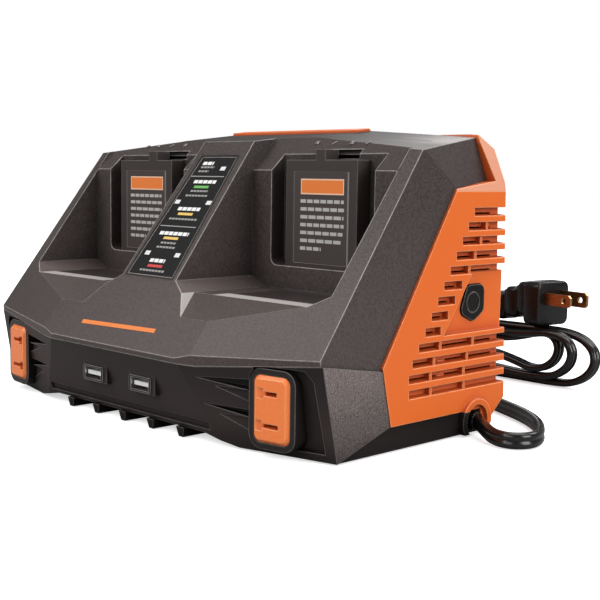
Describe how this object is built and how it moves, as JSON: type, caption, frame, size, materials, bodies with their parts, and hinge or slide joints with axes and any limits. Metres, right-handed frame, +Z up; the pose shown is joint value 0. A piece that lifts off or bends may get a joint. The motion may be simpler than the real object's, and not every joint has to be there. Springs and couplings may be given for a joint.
{
  "type": "power tool battery charger",
  "caption": "Mains charger with bays for slide-on tool batteries, a louvred orange cover, mains outlets, USB sockets, a sprung reset button and a captive flat cord.",
  "frame": {"origin": "on the resting plane, midway across the width and the depth of the body without its cord", "axes": "+Z up, the sloping front with the outlets faces -Y, +X to the side with the reset button and the cord"},
  "size_m": [0.2739, 0.2501, 0.1326],
  "materials": {
    "housing": "fine texture",
    "wing": "grainy",
    "orange": "satin",
    "black": "satin",
    "rubber": "matt",
    "cord": "satin",
    "steel": "zinc plated",
    "brass": "plain",
    "copper": "enamelled wire",
    "aluminium": "extruded",
    "white": "moulded",
    "clear": "frosted",
    "label": "printed film",
    "label_grey": "printed film",
    "board": "solder mask",
    "ferrite": "sintered",
    "tape": "polyester tape",
    "sleeve": "shrink sleeve",
    "blue": "moulded"
  },
  "bodies": {
    "charger": {"base_pan": "black", "board_connectors": "white", "board_screws": "steel", "breaker_body": "black", "breaker_terminals": "brass", "cord_hank": "cord", "cord_tie": "black", "front_fascia": "wing", "fuse": "white", "housing_screws": "steel", "indicator_board": "board", "indicator_leds": "white", "input_capacitor": "sleeve", "left_block_label": "label_grey", "left_heat_sink": "aluminium", "left_outlet_back": "black", "left_outlet_bezel": "black", "left_outlet_contacts": "brass", "left_outlet_face": "orange", "left_terminal_blades": "brass", "left_terminal_block": "housing", "left_usb_shell": "steel", "left_usb_tongue": "white", "light_pipes": "clear", "line_filter_choke": "copper", "main_board": "board", "output_capacitors": "sleeve", "plug_blades": "brass", "plug_body": "cord", "power_cord": "cord", "power_transistors": "black", "rear_cover": "orange", "relay": "blue", "reset_spring": "steel", "right_block_label": "label_grey", "right_heat_sink": "aluminium", "right_outlet_back": "black", "right_outlet_bezel": "black", "right_outlet_contacts": "brass", "right_outlet_face": "orange", "right_terminal_blades": "brass", "right_terminal_block": "housing", "right_usb_shell": "steel", "right_usb_tongue": "white", "rubber_feet": "rubber", "status_label": "label", "strain_relief": "cord", "transformer_core": "ferrite", "transformer_winding": "tape", "upper_housing": "housing", "usb_board": "board"},
    "button": {"reset_button": "black"}
  },
  "joints": [
    {"name": "reset_press", "type": "slide", "parent": "charger", "child": "button", "axis": [-1, 0, 0], "range_m": [0, 0.002], "stiffness_N_per_m": 300, "springref_m": -0.002, "deforming": ["reset_spring"]}
  ]
}
